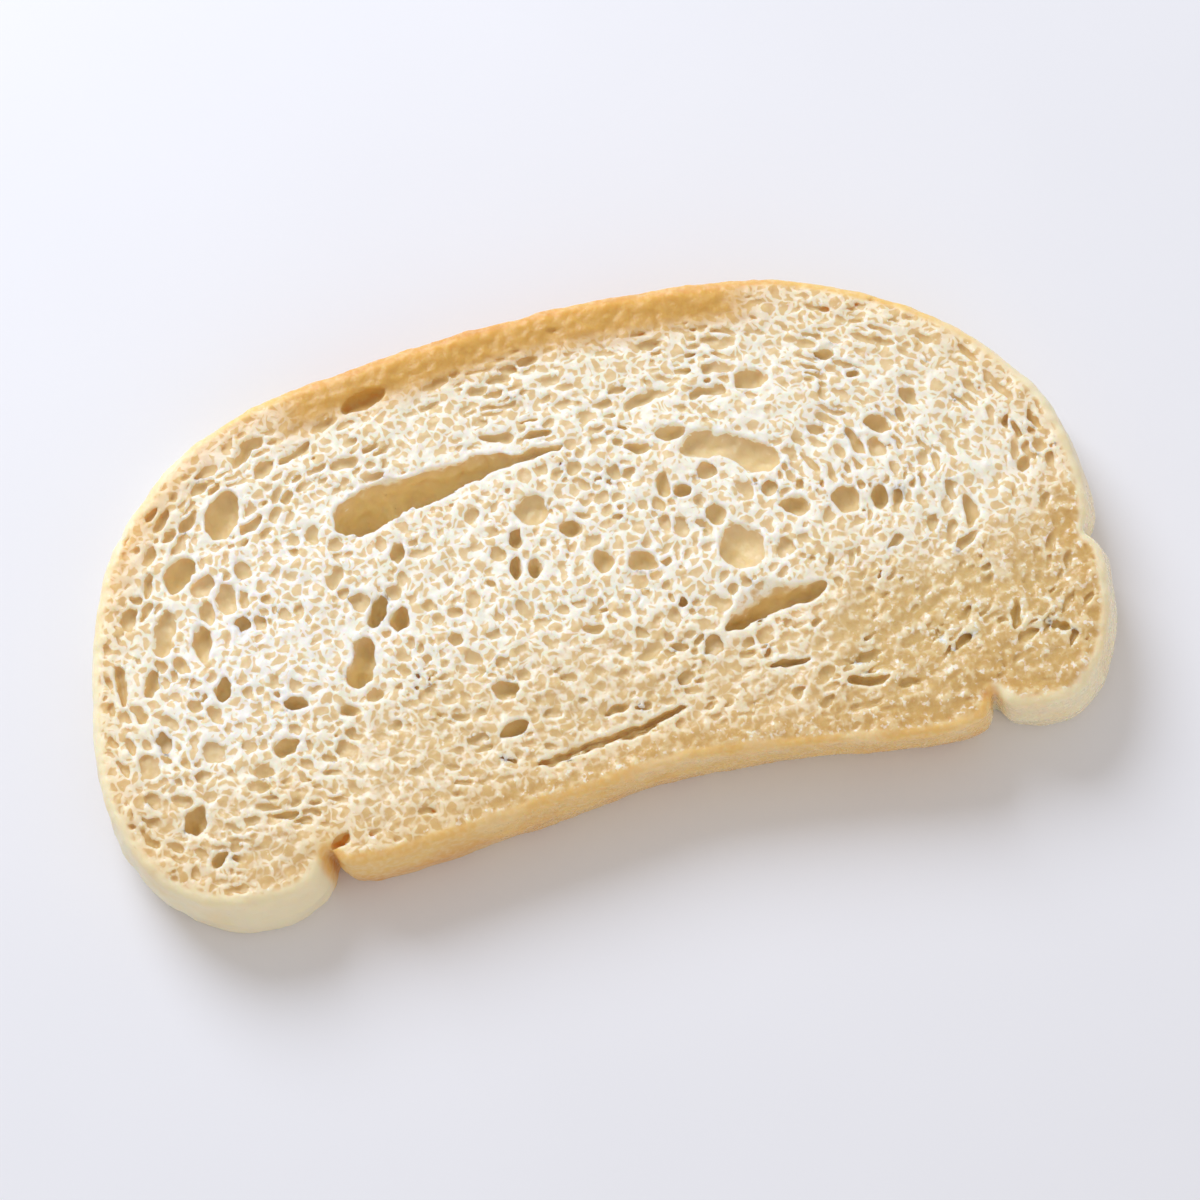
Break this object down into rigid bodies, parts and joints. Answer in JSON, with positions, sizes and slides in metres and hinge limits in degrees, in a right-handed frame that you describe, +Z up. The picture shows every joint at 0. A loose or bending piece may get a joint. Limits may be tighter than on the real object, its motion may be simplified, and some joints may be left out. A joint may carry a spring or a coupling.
{
  "type": "bread slice",
  "caption": "Slice of white bread with a domed soft crust, nibbed base corners and open porous crumb, lying flat on its cut face.",
  "frame": {"origin": "middle of the underside, which is the cut face that the slice rests on", "axes": "+X along the slice's length towards the end with the side notch, +Y towards the domed top crust, +Z up out of the shown cut face"},
  "size_m": [0.137, 0.073, 0.012],
  "materials": {
    "bread_crumb": "soft matt wheat crumb, open and uneven, off-white walls with cream pores, pale golden crust round the edge"
  },
  "bodies": {
    "root": {"bread_slice": "bread_crumb"}
  },
  "joints": []
}
